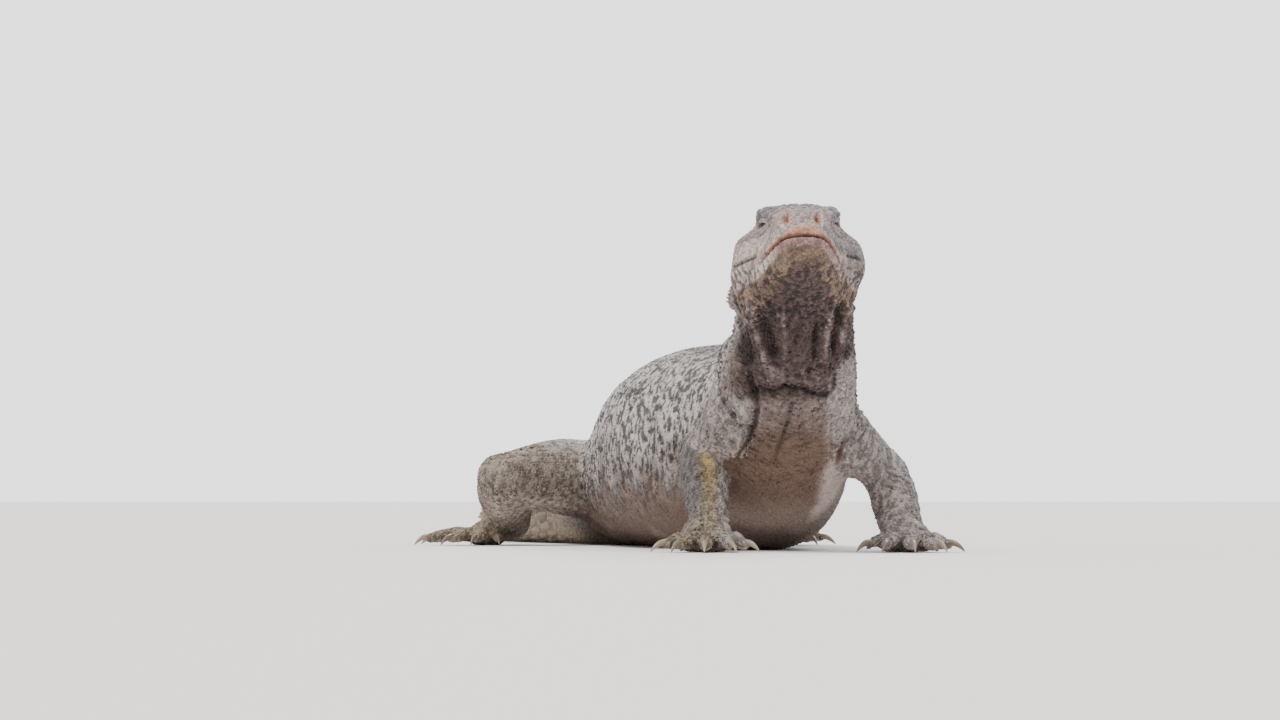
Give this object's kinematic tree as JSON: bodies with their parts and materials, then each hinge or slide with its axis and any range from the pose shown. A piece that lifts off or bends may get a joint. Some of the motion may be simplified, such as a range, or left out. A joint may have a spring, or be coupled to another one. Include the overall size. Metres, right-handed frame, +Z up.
{
  "type": "uromastyx lizard",
  "caption": "Still life-size model of a spiny-tailed lizard, head raised on its forelegs, with its belly, hind legs and ringed spiny tail resting on the floor.",
  "frame": {"origin": "on the floor, under the middle of the whole animal's bounding box", "axes": "+Z up, the head looks along -Y, +X is the lizard's left"},
  "size_m": [0.2402, 0.6282, 0.1381],
  "materials": {
    "head_skin": "dry, finely scaled, pinkish grey with orange lips",
    "throat_skin": "dry, loose and folded, dark brown",
    "body_skin": "dry, finely scaled, grey with dark speckles, tan below",
    "limb_skin": "dry, scaled, mottled grey with yellow-ochre patches",
    "tail_skin": "dry, rings of spiny scales, sandy brown",
    "claw": "smooth horn",
    "eye": "wet gloss"
  },
  "bodies": {
    "root": {"head": "head_skin", "lower_jaw": "head_skin", "eye_left": "eye", "eye_right": "eye", "neck": "throat_skin", "torso": "body_skin", "tail_base": "tail_skin", "tail_middle": "tail_skin", "tail_end": "tail_skin", "upper_arm_left": "limb_skin", "forearm_left": "limb_skin", "hand_left": "limb_skin", "upper_arm_right": "limb_skin", "forearm_right": "limb_skin", "hand_right": "limb_skin", "thigh_left": "limb_skin", "shin_left": "limb_skin", "foot_left": "limb_skin", "thigh_right": "limb_skin", "shin_right": "limb_skin", "foot_right": "limb_skin"}
  },
  "joints": []
}
